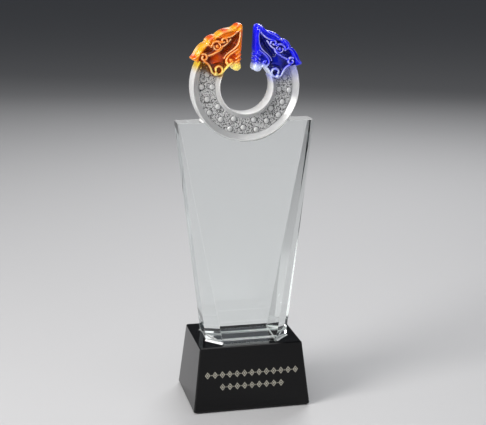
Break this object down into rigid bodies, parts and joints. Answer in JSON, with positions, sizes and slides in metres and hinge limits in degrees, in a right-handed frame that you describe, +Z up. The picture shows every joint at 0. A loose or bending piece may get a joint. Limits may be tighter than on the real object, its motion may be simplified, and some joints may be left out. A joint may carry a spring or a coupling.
{
  "type": "crystal award",
  "caption": "Clear crystal award block on a black plinth, topped by an open glass ring that ends in two facing dragon heads.",
  "frame": {"origin": "on the surface it stands on, under the middle of the plinth", "axes": "+Z up, the front with the ornament rows faces -Y, +X to the right as seen from the front, towards the blue head"},
  "size_m": [0.107, 0.0698, 0.3005],
  "materials": {
    "felt": "matt black felt",
    "black_crystal": "polished opaque black crystal",
    "paint_fill": "silver-cream paint, filled flush",
    "uv_adhesive": "clear cured adhesive",
    "clear_crystal": "polished clear optical crystal",
    "clear_cast_glass": "cast glass, polished rims, granular field",
    "amber_cast_glass": "cast amber glass, yellow towards the ring",
    "blue_cast_glass": "cast cobalt-blue glass"
  },
  "bodies": {
    "root": {"felt_pad": "felt", "plinth": "black_crystal", "upper_ornament_row": "paint_fill", "lower_ornament_row": "paint_fill", "plinth_bond": "uv_adhesive", "crystal_body": "clear_crystal", "ring_bond": "uv_adhesive", "clear_ring": "clear_cast_glass", "amber_dragon_head": "amber_cast_glass", "blue_dragon_head": "blue_cast_glass"}
  },
  "joints": []
}
